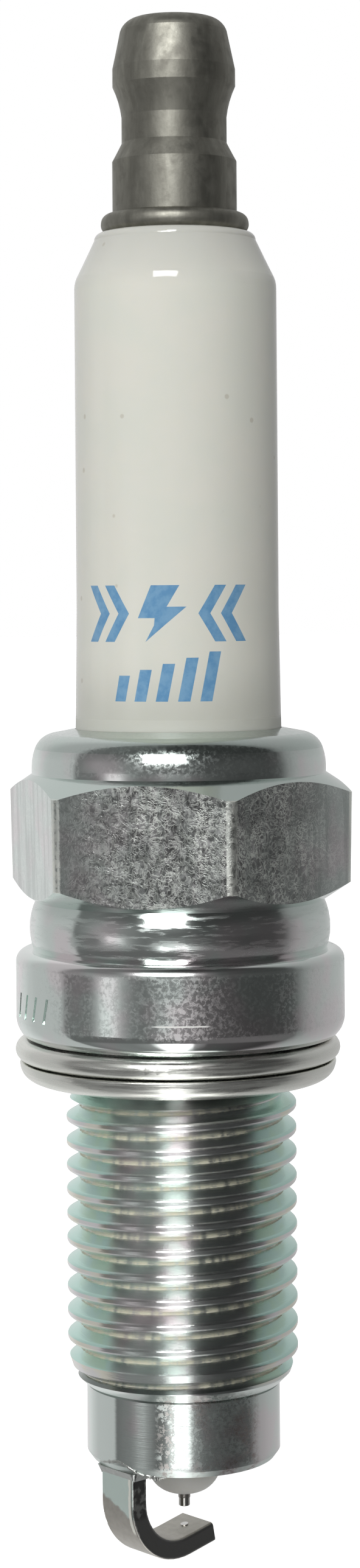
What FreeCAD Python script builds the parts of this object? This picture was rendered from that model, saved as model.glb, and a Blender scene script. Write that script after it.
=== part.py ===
"""Motorcycle spark plug: M12 x 1.25 thread, 16 mm hexagon, one-piece terminal, captive gasket.

Millimetres. +Z points from the firing end to the terminal. The origin is on the plug's axis in the
plane of the shell flange's underside, where the thread's reach is measured from.
"""

import FreeCAD, Part
import os
import re
import Sketcher

Vector = FreeCAD.Vector

# Driving dimensions, all in millimetres or degrees. Heights are along Z from the origin.
SIZES = {
    # terminal stud
    "terminal_top": 52.6,
    "terminal_face_radius": 2.1,
    "terminal_crown_arc": 1.0,
    "terminal_head_radius": 3.19,
    "terminal_edge_radius": 2.78,
    "terminal_edge_height": 51.95,
    "terminal_head_top": 50.0,
    "terminal_head_base": 49.1,
    "terminal_waist_arc": 5.0,
    "terminal_neck_radius": 2.73,
    "terminal_neck_top": 47.5,
    "terminal_neck_base": 46.15,
    "terminal_post_radius": 3.23,
    "terminal_post_top": 45.2,
    "terminal_flange_top": 42.5,
    "terminal_flange_radius": 3.84,
    "terminal_flange_round": 0.5,
    "terminal_flange_foot": 3.6,
    "stem_radius": 1.7,
    "stem_tip": 7.2,
    "stem_tip_chamfer": 0.3,
    "stem_groove_depth": 0.2,
    "stem_groove_width": 0.4,
    "stem_groove_pitch": 0.8,
    "stem_groove_base": 9.4,
    "stem_groove_count": 8,
    # insulator
    "insulator_top": 41.5,
    "insulator_top_radius": 4.2,
    "insulator_top_round": 0.4,
    "insulator_cone_base": 39.15,
    "insulator_cone_radius": 5.14,
    "insulator_head_top": 38.6,
    "insulator_shoulder_arc": 1.3,
    "insulator_head_radius": 5.25,
    "insulator_head_base": 22.0,
    "insulator_collar_radius": 5.34,
    "insulator_collar_top": 15.9,
    "insulator_flange_radius": 6.2,
    "insulator_flange_top": 8.2,
    "insulator_flange_base": 3.2,
    "trunk_radius": 3.9,
    "trunk_base": -7.75,
    "shoulder_slope": 0.58,
    "step_slope": 0.7,
    "nose_root_radius": 3.05,
    "nose_end_radius": 1.93,
    "nose_end_round": 1.5,
    "nose_end_height": -22.27,
    "insulator_end": -23.74,
    "seal_bore_radius": 1.95,
    "seal_bore_base": -5.5,
    "electrode_bore_radius": 1.1,
    "electrode_bore_top": -6.3,
    "electrode_bore_base": -22.3,
    "tip_bore_radius": 0.42,
    "tip_bore_top": -23.1,
    # metal shell
    "lip_radius": 5.37,
    "lip_top": 15.85,
    "lip_thickness": 0.4,
    "crimp_radius": 7.64,
    "crimp_height": 13.9,
    "crimp_side_round": 2.8,
    "crimp_side_angle": 20.0,
    "crimp_round": 1.21,
    "crimp_edge_angle": 74.0,
    "hex_top": 13.55,
    "hex_base": 7.0,
    "hex_flats": 15.69,
    "hex_draft": 1.2,
    "hex_corner_round": 0.5,
    "hex_turn": -13.3,
    "hex_blank_radius": 9.3,
    "hex_chamfer_slope": 0.66,
    "hex_undercut": 0.1,
    "buckle_top_radius": 7.5,
    "buckle_base_radius": 7.62,
    "buckle_round": 3.4,
    "flange_radius": 8.52,
    "flange_top": 4.5,
    "flange_top_round": 0.6,
    "flange_base_radius": 8.02,
    "flange_base_round": 1.28,
    "flange_base_height": 0.95,
    "neck_radius": 5.15,
    "neck_round": 0.25,
    "neck_base": -2.6,
    "thread_radius": 5.97,
    "thread_root_radius": 5.22,
    "thread_pitch": 1.25,
    "thread_top": -3.4,
    "thread_base": -16.2,
    "thread_lead_radius": 5.6,
    "thread_lead_base": -17.35,
    "thread_foot_radius": 5.15,
    "thread_start": -19.22,
    "thread_cut_height": 17.3,
    "thread_crest_round": 0.25,
    "thread_crest_cover": 0.012,
    "thread_root_width": 0.06,
    "shell_nose_radius": 5.0,
    "shell_nose_top": -17.8,
    "shell_nose_base": -21.36,
    "nose_groove_depth": 0.08,
    "nose_groove_height": 0.08,
    "shell_end": -21.7,
    "shell_end_radius": 4.75,
    "cavity_radius": 6.35,
    "cavity_base": 2.6,
    "shell_bore_radius": 4.1,
    "ledge_radius": 3.25,
    "ledge_base": -10.2,
    "firing_bore_radius": 3.7,
    "firing_bore_top": -10.8,
    "stroke_length": 1.3,
    "stroke_width": 0.22,
    "stroke_depth": 0.14,
    "stroke_lean": 0.35,
    "stroke_height": 1.85,
    "stroke_turn": -74.0,
    "stroke_span": 21.0,
    "stroke_count": 4,
    # packings and seals between insulator and shell
    "packing_height": 1.0,
    "packing_round": 0.3,
    "talc_height": 3.7,
    "seat_packing_thickness": 0.35,
    "seat_packing_bore": 3.3,
    # conductors inside the insulator
    "upper_seal_top": 8.8,
    "resistor_top": 5.0,
    "resistor_base": -2.0,
    "electrode_radius": 1.05,
    "electrode_head_radius": 1.85,
    "electrode_head_top": -4.8,
    "electrode_top": -4.3,
    "electrode_top_radius": 0.95,
    "core_radius": 0.6,
    "core_base": -20.5,
    "weld_top": -23.0,
    "weld_top_radius": 0.37,
    "weld_base": -24.05,
    "weld_base_radius": 0.31,
    "tip_radius": 0.29,
    "tip_end": -24.48,
    "tip_round": 0.04,
    # ground electrode, measured across the axis in its own plane
    "strap_width": 2.45,
    "strap_thickness": 1.0,
    "strap_round": 0.16,
    "strap_inner_reach": 3.62,
    "strap_bend_radius": 2.3,
    "strap_bend_height": -23.4,
    "strap_overhang": 0.87,
    "strap_rise_angle": 11.0,
    "strap_turn": 42.0,
    "pad_radius": 0.2,
    "pad_thickness": 0.05,
    "bead_height": 0.42,
    "bead_margin": 0.25,
    "bead_outer_margin": 0.16,
    "bead_round": 0.3,
    "bead_slope": 25.0,
    # seat gasket
    "gasket_bore_radius": 5.68,
    "gasket_top": -0.1,
    "gasket_sheet": 0.42,
    "gasket_bead_height": 1.1,
    "gasket_bead_radius": 8.42,
    "gasket_slit": 0.05,
    "gasket_slit_depth": 1.9,
    "gasket_foot_height": 1.01,
    "gasket_foot_radius": 8.2,
    "gasket_foot_edge": 0.1,
    "gasket_lip_round": 0.52,
    "gasket_offset": -0.15,
    # how far a cut runs past the surface it opens
    "cut_margin": 1.0,
}

# A cut that takes less than this, in cubic millimetres, has missed the body.
LEAST_CUT = 0.1

doc = FreeCAD.newDocument("SparkPlug")


def make_sheet():
    """Writes the driving dimensions into a spreadsheet, name in column A and value in column B."""
    sheet = doc.addObject("Spreadsheet::Sheet", "Sizes")
    for row, (alias, value) in enumerate(SIZES.items(), start=1):
        sheet.set(f"A{row}", alias)
        sheet.set(f"B{row}", str(value))
        sheet.setAlias(f"B{row}", alias)
    doc.recompute()
    return sheet


sheet = make_sheet()


def bound(text):
    """Turns 'post_radius + 0.1' into an expression on the sheet; functions keep their names."""
    return re.sub(r"\b[a-z]\w+\b(?!\()", lambda word: f"Sizes.{word.group(0)}", str(text))


def value_of(text):
    """The present value of an expression on the sheet."""
    value = sheet.evalExpression(bound(text))
    return float(getattr(value, "Value", value))


def bind(item, path, text):
    item.setExpression(path, bound(text))


def new_body(label):
    return doc.addObject("PartDesign::Body", label)


def origin_feature(body, role):
    return next(item for item in body.Origin.OriginFeatures if item.Role == role)


def new_sketch(body, name, role):
    """A sketch on one of the body's own origin planes."""
    sketch = body.newObject("Sketcher::SketchObject", name)
    sketch.AttachmentSupport = (origin_feature(body, role), [""])
    sketch.MapMode = "FlatFace"
    return sketch


def fix_point(sketch, edge, end, corner):
    """Ties one end of an edge to its place, measured from the sketch's origin."""
    for kind, text, axis in (("DistanceX", corner[0], -2), ("DistanceY", corner[1], -1)):
        value = value_of(text)
        if abs(value) < 1e-9:
            sketch.addConstraint(Sketcher.Constraint("PointOnObject", edge, end, axis))
            continue
        number = sketch.addConstraint(Sketcher.Constraint(kind, -1, 1, edge, end, value))
        bind(sketch, f"Constraints[{number}]", text)


def arc_between(start, end, radius):
    """The short arc from start to end; a positive radius turns left, a negative one right."""
    chord = end - start
    left = Vector(-chord.y, chord.x, 0).normalize()
    side = 1 if radius > 0 else -1
    rise = max(radius ** 2 - chord.Length ** 2 / 4, 0) ** 0.5
    centre = (start + end) / 2 + left * side * rise
    middle = centre - left * side * abs(radius)
    return Part.Arc(start, middle, end)


def draw_outline(sketch, corners):
    """Closes a loop through corners. Each is (across, up), or (across, up, radius) where an arc
    from the corner before it ends there."""
    first = sketch.GeometryCount
    count = len(corners)
    starts = []
    ends = []
    for index, corner in enumerate(corners):
        target = corners[(index + 1) % count]
        start = Vector(value_of(corner[0]), value_of(corner[1]), 0)
        end = Vector(value_of(target[0]), value_of(target[1]), 0)
        turns_right = False
        if len(target) == 3:
            radius = value_of(target[2])
            turns_right = radius < 0
            sketch.addGeometry(arc_between(start, end, radius))
            size = sketch.addConstraint(Sketcher.Constraint("Radius", first + index, abs(radius)))
            bind(sketch, f"Constraints[{size}]", f"abs({target[2]})")
        else:
            sketch.addGeometry(Part.LineSegment(start, end))
        starts.append(2 if turns_right else 1)
        ends.append(1 if turns_right else 2)
    for index, corner in enumerate(corners):
        before = (index - 1) % count
        here = first + index
        joint = Sketcher.Constraint("Coincident", first + before, ends[before], here, starts[index])
        sketch.addConstraint(joint)
        fix_point(sketch, here, starts[index], corner)


def revolve(body, name, corners):
    """Turns an outline of (radius, height) corners about the plug's axis."""
    sketch = new_sketch(body, f"{name}_outline", "XZ_Plane")
    draw_outline(sketch, corners)
    feature = body.newObject("PartDesign::Revolution", name)
    feature.Profile = sketch
    feature.ReferenceAxis = (sketch, ["V_Axis"])
    feature.Angle = 360
    return feature


def turned_body(label, corners):
    body = new_body(label)
    revolve(body, f"{label}_turned", corners)
    return body


def make_terminal_stud():
    """Solid terminal with a waisted head, and the stem that reaches down to the glass seal."""
    body = turned_body("terminal_stud", [
        ("0", "stem_tip"),
        ("stem_radius - stem_tip_chamfer", "stem_tip"),
        ("stem_radius", "stem_tip + stem_tip_chamfer"),
        ("stem_radius", "insulator_top"),
        ("terminal_flange_foot", "insulator_top"),
        ("terminal_flange_radius", "terminal_flange_top - terminal_flange_round",
         "terminal_flange_round"),
        ("terminal_flange_radius - terminal_flange_round", "terminal_flange_top",
         "terminal_flange_round"),
        ("terminal_post_radius", "terminal_flange_top"),
        ("terminal_post_radius", "terminal_post_top"),
        ("terminal_neck_radius", "terminal_neck_base"),
        ("terminal_neck_radius", "terminal_neck_top"),
        ("terminal_head_radius", "terminal_head_base", "-terminal_waist_arc"),
        ("terminal_head_radius", "terminal_head_top"),
        ("terminal_edge_radius", "terminal_edge_height"),
        ("terminal_face_radius", "terminal_top", "terminal_crown_arc"),
        ("0", "terminal_top"),
    ])
    sketch = new_sketch(body, "stem_groove_outline", "XZ_Plane")
    draw_outline(sketch, [
        ("stem_radius - stem_groove_depth", "stem_groove_base"),
        ("stem_radius + stem_groove_depth", "stem_groove_base"),
        ("stem_radius + stem_groove_depth", "stem_groove_base + stem_groove_width"),
        ("stem_radius - stem_groove_depth", "stem_groove_base + stem_groove_width"),
    ])
    groove = body.newObject("PartDesign::Groove", "stem_groove")
    groove.Profile = sketch
    groove.ReferenceAxis = (sketch, ["V_Axis"])
    groove.Angle = 360
    rows = body.newObject("PartDesign::LinearPattern", "stem_grooves")
    rows.Originals = [groove]
    rows.Direction = (sketch, ["V_Axis"])
    bind(rows, "Occurrences", "stem_groove_count")
    bind(rows, "Length", "(stem_groove_count - 1) * stem_groove_pitch")
    body.Tip = rows
    return body


def make_insulator():
    """Glazed ceramic: cone-topped head, flange held in the shell, trunk, step and long nose."""
    shoulder_drop = "(insulator_flange_radius - trunk_radius) * shoulder_slope"
    step_drop = "(trunk_radius - nose_root_radius) * step_slope"
    return turned_body("insulator", [
        ("seal_bore_radius", "insulator_top"),
        ("insulator_top_radius - insulator_top_round", "insulator_top"),
        ("insulator_top_radius", "insulator_top - insulator_top_round", "-insulator_top_round"),
        ("insulator_cone_radius", "insulator_cone_base"),
        ("insulator_head_radius", "insulator_head_top", "-insulator_shoulder_arc"),
        ("insulator_head_radius", "insulator_head_base"),
        ("insulator_collar_radius", "insulator_collar_top"),
        ("insulator_collar_radius", "insulator_flange_top"),
        ("insulator_flange_radius", "insulator_flange_top"),
        ("insulator_flange_radius", "insulator_flange_base"),
        ("trunk_radius", f"insulator_flange_base - {shoulder_drop}"),
        ("trunk_radius", "trunk_base"),
        ("nose_root_radius", f"trunk_base - {step_drop}"),
        ("nose_end_radius", "nose_end_height"),
        ("tip_bore_radius", "insulator_end", "-nose_end_round"),
        ("tip_bore_radius", "tip_bore_top"),
        ("electrode_bore_radius", "electrode_bore_base"),
        ("electrode_bore_radius", "electrode_bore_top"),
        ("seal_bore_radius", "seal_bore_base"),
    ])


def shell_outline():
    """Half section of the shell blank, with the hexagon still round and no thread."""
    hex_drop = "(hex_blank_radius - crimp_radius) * hex_chamfer_slope"
    hex_lift = "(hex_blank_radius - buckle_top_radius) * hex_chamfer_slope"
    side = "crimp_side_angle"
    edge = "crimp_edge_angle"
    side_radius = f"crimp_radius - crimp_side_round * (1 - cos({side}))"
    side_height = f"crimp_height + crimp_side_round * sin({side})"
    edge_radius = f"{side_radius} - crimp_round * (cos({side}) - cos({edge}))"
    edge_height = f"{side_height} + crimp_round * (sin({edge}) - sin({side}))"
    ledge_top = "trunk_base + (shell_bore_radius - trunk_radius) * step_slope"
    ledge_foot = "trunk_base - (trunk_radius - ledge_radius) * step_slope"
    cavity_drop = "(cavity_radius - shell_bore_radius) * shoulder_slope"
    return [
        ("firing_bore_radius", "shell_end"),
        ("shell_end_radius", "shell_end"),
        ("shell_nose_radius", "shell_nose_base"),
        ("shell_nose_radius", "shell_nose_top - nose_groove_height - nose_groove_depth"),
        ("shell_nose_radius - nose_groove_depth", "shell_nose_top - nose_groove_height"),
        ("shell_nose_radius - nose_groove_depth", "shell_nose_top"),
        ("thread_foot_radius", "shell_nose_top"),
        ("thread_lead_radius", "thread_lead_base"),
        ("thread_radius", "thread_base"),
        ("thread_radius", "thread_top"),
        ("neck_radius", "neck_base"),
        ("neck_radius", "-neck_round"),
        ("neck_radius + neck_round", "0", "-neck_round"),
        ("flange_base_radius", "0"),
        ("flange_radius", "flange_base_height", "flange_base_round"),
        ("flange_radius", "flange_top - flange_top_round"),
        ("flange_radius - flange_top_round", "flange_top", "flange_top_round"),
        ("buckle_base_radius", "flange_top"),
        ("buckle_top_radius", "hex_base", "buckle_round"),
        ("hex_blank_radius", f"hex_base + {hex_lift}"),
        ("hex_blank_radius", f"hex_top - {hex_drop}"),
        ("crimp_radius", "hex_top"),
        ("crimp_radius", "crimp_height"),
        (side_radius, side_height, "crimp_side_round"),
        (edge_radius, edge_height, "crimp_round"),
        ("lip_radius", "lip_top"),
        ("lip_radius", "lip_top - lip_thickness"),
        ("cavity_radius", "insulator_flange_top + 2 * packing_height + talc_height"),
        ("cavity_radius", "cavity_base"),
        ("shell_bore_radius", f"cavity_base - {cavity_drop}"),
        ("shell_bore_radius", f"{ledge_top} - seat_packing_thickness"),
        ("ledge_radius", f"{ledge_foot} - seat_packing_thickness"),
        ("ledge_radius", "ledge_base"),
        ("firing_bore_radius", "firing_bore_top"),
    ]


def cut_hexagon(body):
    """Cuts the round blank to a hexagon with rounded corners, from above the flange upwards."""
    sketch = new_sketch(body, "hexagon_outline", "XY_Plane")
    bind(sketch, "AttachmentOffset.Base.z", "hex_base - hex_undercut")
    bind(sketch, "AttachmentOffset.Rotation.Angle", "hex_turn")
    reach = "(hex_flats / sqrt(3) - hex_corner_round / (2 * sqrt(3)))"
    corners = []
    for index in range(6):
        angle = 60 * index
        for side, extra in ((-1, ()), (1, ("hex_corner_round",))):
            across = f"{reach} * cos({angle}) - {side} * hex_corner_round / 2 * sin({angle})"
            along = f"{reach} * sin({angle}) + {side} * hex_corner_round / 2 * cos({angle})"
            corners.append((across, along) + extra)
    draw_outline(sketch, corners)
    rim_radius = "hex_blank_radius + cut_margin"
    circle = Part.Circle(Vector(0, 0, 0), Vector(0, 0, 1), value_of(rim_radius))
    rim = sketch.addGeometry(circle)
    sketch.addConstraint(Sketcher.Constraint("Coincident", rim, 3, -1, 1))
    size = sketch.addConstraint(Sketcher.Constraint("Radius", rim, circle.Radius))
    bind(sketch, f"Constraints[{size}]", rim_radius)
    pocket = body.newObject("PartDesign::Pocket", "hexagon")
    pocket.Profile = sketch
    pocket.Reversed = True
    bind(pocket, "Length", "hex_top - hex_base + cut_margin")
    bind(pocket, "TaperAngle", "hex_draft")
    return pocket


def cut_thread(body):
    """Right-hand thread with rounded crests and narrow flat roots, run out at both ends."""
    sketch = new_sketch(body, "thread_gap_outline", "XZ_Plane")
    crest = "(thread_radius + thread_crest_cover)"
    root = "thread_root_width / 2"
    sharp = f"({root} + ({crest} - thread_root_radius) * tan(30))"
    flank = f"({sharp} - thread_crest_round / (2 * sqrt(3)))"
    mouth = f"({sharp} + thread_crest_round / sqrt(3))"
    draw_outline(sketch, [
        ("thread_root_radius", f"thread_start - {root}"),
        (f"{crest} - thread_crest_round / 2", f"thread_start - {flank}"),
        (crest, f"thread_start - {mouth}", "-thread_crest_round"),
        (f"{crest} + thread_crest_round", f"thread_start - {mouth}"),
        (f"{crest} + thread_crest_round", f"thread_start + {mouth}"),
        (crest, f"thread_start + {mouth}"),
        (f"{crest} - thread_crest_round / 2", f"thread_start + {flank}", "-thread_crest_round"),
        ("thread_root_radius", f"thread_start + {root}"),
    ])
    thread = body.newObject("PartDesign::SubtractiveHelix", "thread")
    thread.Profile = sketch
    thread.ReferenceAxis = (sketch, ["V_Axis"])
    thread.Mode = "pitch-height-angle"
    thread.LeftHanded = False
    bind(thread, "Pitch", "thread_pitch")
    bind(thread, "Height", "thread_cut_height")
    return thread


def cut_strokes(body):
    """Four short slanted tally strokes pressed into the flange's rim."""
    sketch = new_sketch(body, "stroke_outline", "XZ_Plane")
    turn = FreeCAD.Rotation(Vector(0, 1, 0), value_of("stroke_turn"))
    sketch.AttachmentOffset = FreeCAD.Placement(Vector(), turn)
    depth = "(flange_radius - stroke_depth)"
    bind(sketch, "AttachmentOffset.Rotation.Angle", "stroke_turn")
    bind(sketch, "AttachmentOffset.Base.x", f"{depth} * sin(stroke_turn)")
    bind(sketch, "AttachmentOffset.Base.z", f"{depth} * cos(stroke_turn)")
    low = "stroke_height - stroke_length / 2"
    high = "stroke_height + stroke_length / 2"
    draw_outline(sketch, [
        ("-stroke_width / 2 - stroke_lean / 2", low),
        ("stroke_width / 2 - stroke_lean / 2", low),
        ("stroke_width / 2 + stroke_lean / 2", high),
        ("-stroke_width / 2 + stroke_lean / 2", high),
    ])
    stroke = body.newObject("PartDesign::Pocket", "stroke")
    stroke.Profile = sketch
    stroke.Reversed = True
    bind(stroke, "Length", "stroke_depth + cut_margin")
    strokes = body.newObject("PartDesign::PolarPattern", "strokes")
    strokes.Originals = [stroke]
    strokes.Axis = (origin_feature(body, "Z_Axis"), [""])
    bind(strokes, "Occurrences", "stroke_count")
    bind(strokes, "Angle", "stroke_span")
    body.Tip = strokes
    return strokes


def make_metal_shell():
    """One steel piece: crimp, hexagon, thin buckled wall, flange, neck, thread and nose."""
    body = new_body("metal_shell")
    blank = revolve(body, "shell_turned", shell_outline())
    cuts = [blank, cut_hexagon(body), cut_thread(body), cut_strokes(body)]
    doc.recompute()
    for before, after in zip(cuts, cuts[1:]):
        if after.Shape.Volume > before.Shape.Volume - LEAST_CUT:
            raise RuntimeError(f"{after.Name} removed nothing from the shell")
    return body


def ring_corners(inner, outer, low, high, rounding):
    """A ring's section with its four corners rounded."""
    return [
        (f"{inner} + {rounding}", low),
        (f"{outer} - {rounding}", low),
        (outer, f"{low} + {rounding}", rounding),
        (outer, f"{high} - {rounding}"),
        (f"{outer} - {rounding}", high, rounding),
        (f"{inner} + {rounding}", high),
        (inner, f"{high} - {rounding}", rounding),
        (inner, f"{low} + {rounding}"),
    ]


def close_ring(label, corners):
    """A ring whose first corner is reached by an arc from the last one."""
    first = corners[0] + ("packing_round",)
    return turned_body(label, [first] + corners[1:])


def make_packings():
    """The two wire rings and the pressed talc that seal the insulator's head in the shell."""
    inner = "insulator_collar_radius"
    outer = "cavity_radius"
    talc_base = "insulator_flange_top + packing_height"
    talc_top = f"{talc_base} + talc_height"
    lower = ring_corners(inner, outer, "insulator_flange_top", talc_base, "packing_round")
    upper = ring_corners(inner, outer, talc_top, f"{talc_top} + packing_height", "packing_round")
    return [
        close_ring("upper_packing_ring", upper),
        turned_body("talc_seal", [
            (inner, talc_base),
            (outer, talc_base),
            (outer, talc_top),
            (inner, talc_top),
        ]),
        close_ring("lower_packing_ring", lower),
    ]


def make_seat_packing():
    """Thin coned steel washer between the insulator's step and the shell's ledge."""
    drop = "(trunk_radius - seat_packing_bore) * step_slope"
    return turned_body("seat_packing", [
        ("seat_packing_bore", f"trunk_base - {drop} - seat_packing_thickness"),
        ("trunk_radius", "trunk_base - seat_packing_thickness"),
        ("trunk_radius", "trunk_base"),
        ("seat_packing_bore", f"trunk_base - {drop}"),
    ])


def make_seal_stack():
    """Glass, resistor and glass, fired in the insulator's bore between stem and electrode."""
    upper = turned_body("upper_glass_seal", [
        ("0", "resistor_top"),
        ("seal_bore_radius", "resistor_top"),
        ("seal_bore_radius", "upper_seal_top"),
        ("stem_radius", "upper_seal_top"),
        ("stem_radius", "stem_tip + stem_tip_chamfer"),
        ("stem_radius - stem_tip_chamfer", "stem_tip"),
        ("0", "stem_tip"),
    ])
    resistor = turned_body("resistor", [
        ("0", "resistor_base"),
        ("seal_bore_radius", "resistor_base"),
        ("seal_bore_radius", "resistor_top"),
        ("0", "resistor_top"),
    ])
    lower = turned_body("lower_glass_seal", [
        ("0", "electrode_top"),
        ("electrode_top_radius", "electrode_top"),
        ("electrode_head_radius", "electrode_head_top"),
        ("seal_bore_radius", "electrode_head_top"),
        ("seal_bore_radius", "resistor_base"),
        ("0", "resistor_base"),
    ])
    return [upper, resistor, lower]


def make_center_electrode():
    """Nickel sheath with a head that hangs on the bore's step, its copper core and fine tip."""
    slope = ("((seal_bore_base - electrode_bore_top)"
             " / (seal_bore_radius - electrode_bore_radius))")
    head_base = f"seal_bore_base - (seal_bore_radius - electrode_head_radius) * {slope}"
    shank_top = f"electrode_bore_top - (electrode_bore_radius - electrode_radius) * {slope}"
    sheath = turned_body("center_electrode", [
        ("0", "weld_top"),
        ("weld_top_radius", "weld_top"),
        ("electrode_radius", "electrode_bore_base"),
        ("electrode_radius", shank_top),
        ("electrode_head_radius", head_base),
        ("electrode_head_radius", "electrode_head_top"),
        ("electrode_top_radius", "electrode_top"),
        ("core_radius", "electrode_top"),
        ("core_radius", "core_base"),
        ("0", "core_base"),
    ])
    core = turned_body("copper_core", [
        ("0", "core_base"),
        ("core_radius", "core_base"),
        ("core_radius", "electrode_top"),
        ("0", "electrode_top"),
    ])
    weld = turned_body("tip_weld", [
        ("0", "weld_base"),
        ("weld_base_radius", "weld_base"),
        ("weld_top_radius", "weld_top"),
        ("0", "weld_top"),
    ])
    tip = turned_body("iridium_tip", [
        ("0", "tip_end"),
        ("tip_radius - tip_round", "tip_end"),
        ("tip_radius", "tip_end + tip_round", "tip_round"),
        ("tip_radius", "weld_base"),
        ("0", "weld_base"),
    ])
    return [sheath, core, weld, tip]


def strap_corner(radius):
    """Where the strap's bend of this radius runs out into the rising arm."""
    across = f"strap_bend_radius - strap_inner_reach + ({radius}) * sin(strap_rise_angle)"
    up = f"strap_bend_height - ({radius}) * cos(strap_rise_angle)"
    return across, up


def face_height(across):
    """Height of the arm's inner face at a distance across the axis."""
    bend_across, bend_up = strap_corner("strap_bend_radius")
    return f"({bend_up} + (({across}) - ({bend_across})) * tan(strap_rise_angle))"


def place_across(body):
    """Turns a body drawn in the strap's own plane to the strap's direction."""
    body.Placement = FreeCAD.Placement(
        Vector(), FreeCAD.Rotation(Vector(0, 0, 1), value_of("strap_turn")))
    bind(body, "Placement.Rotation.Angle", "strap_turn")


def make_ground_electrode():
    """Nickel strap: a straight leg on the shell's end, a bend, and an arm that rises to its tip."""
    body = new_body("ground_electrode")
    sketch = new_sketch(body, "strap_outline", "XZ_Plane")
    outer_radius = "(strap_bend_radius + strap_thickness)"
    inner = "-strap_inner_reach"
    outer = "-strap_inner_reach - strap_thickness"
    tip = face_height("strap_overhang")
    draw_outline(sketch, [
        (inner, "shell_end"),
        (outer, "shell_end"),
        (outer, "strap_bend_height"),
        (*strap_corner(outer_radius), outer_radius),
        ("strap_overhang + strap_thickness * sin(strap_rise_angle)",
         f"{tip} - strap_thickness * cos(strap_rise_angle)"),
        ("strap_overhang", tip),
        strap_corner("strap_bend_radius"),
        (inner, "strap_bend_height", "-strap_bend_radius"),
    ])
    pad = body.newObject("PartDesign::Pad", "strap")
    pad.Profile = sketch
    pad.Midplane = True
    bind(pad, "Length", "strap_width")
    doc.recompute()
    rounded = body.newObject("PartDesign::Fillet", "strap_edges")
    rounded.Base = (pad, long_edges(pad.Shape))
    bind(rounded, "Radius", "strap_round")
    place_across(body)
    return body


def long_edges(shape):
    """The strap's edges along its length: not those of its foot, nor those of its cut end."""
    foot = value_of("shell_end")
    overhang = value_of("strap_overhang")
    names = []
    for number, edge in enumerate(shape.Edges, start=1):
        ends = [vertex.Point for vertex in edge.Vertexes]
        crosses = abs(ends[0].y - ends[1].y) > 0.1
        on_foot = all(abs(point.z - foot) < 0.001 for point in ends)
        on_tip = all(point.x > overhang - 0.001 for point in ends)
        if not (crosses or on_foot or on_tip):
            names.append(f"Edge{number}")
    return names


def make_platinum_pad():
    """Small noble-metal spot on the arm, square to its inner face and under the fine tip."""
    pad = doc.addObject("Part::Cylinder", "platinum_pad")
    bind(pad, "Radius", "pad_radius")
    bind(pad, "Height", "pad_thickness")
    lean = FreeCAD.Rotation(Vector(0, 1, 0), -value_of("strap_rise_angle"))
    turn = FreeCAD.Rotation(Vector(0, 0, 1), value_of("strap_turn"))
    pad.Placement = FreeCAD.Placement(Vector(0, 0, value_of(face_height("0"))), turn * lean)
    return pad


def rectangle(sketch, left, right, half_width, rounding=None):
    """A rectangle across the sketch, with rounded corners if asked."""
    if rounding is None:
        draw_outline(sketch, [
            (left, f"-{half_width}"),
            (right, f"-{half_width}"),
            (right, half_width),
            (left, half_width),
        ])
        return
    draw_outline(sketch, [
        (f"{left} + {rounding}", f"-{half_width}", rounding),
        (f"{right} - {rounding}", f"-{half_width}"),
        (right, f"-{half_width} + {rounding}", rounding),
        (right, f"{half_width} - {rounding}"),
        (f"{right} - {rounding}", half_width, rounding),
        (f"{left} + {rounding}", half_width),
        (left, f"{half_width} - {rounding}", rounding),
        (left, f"-{half_width} + {rounding}"),
    ])


def make_ground_weld():
    """Sloping bead of weld around the strap's foot on the shell's end face."""
    body = new_body("ground_weld")
    inner = "-strap_inner_reach"
    outer = "-strap_inner_reach - strap_thickness"
    outline = new_sketch(body, "bead_outline", "XY_Plane")
    bind(outline, "AttachmentOffset.Base.z", "shell_end")
    rectangle(outline, f"{outer} - bead_outer_margin", f"{inner} + bead_margin",
              "(strap_width / 2 + bead_margin)", "bead_round")
    bead = body.newObject("PartDesign::Pad", "bead")
    bead.Profile = outline
    bead.Reversed = True
    bind(bead, "Length", "bead_height")
    bind(bead, "TaperAngle", "-bead_slope")
    foot = new_sketch(body, "foot_outline", "XY_Plane")
    bind(foot, "AttachmentOffset.Base.z", "shell_end")
    rectangle(foot, outer, inner, "(strap_width / 2)")
    hole = body.newObject("PartDesign::Pocket", "foot")
    hole.Profile = foot
    bind(hole, "Length", "bead_height + cut_margin")
    doc.recompute()
    if hole.Shape.Volume > bead.Shape.Volume - LEAST_CUT:
        raise RuntimeError("the strap's foot was not cut out of the weld bead")
    place_across(body)
    return body


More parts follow.
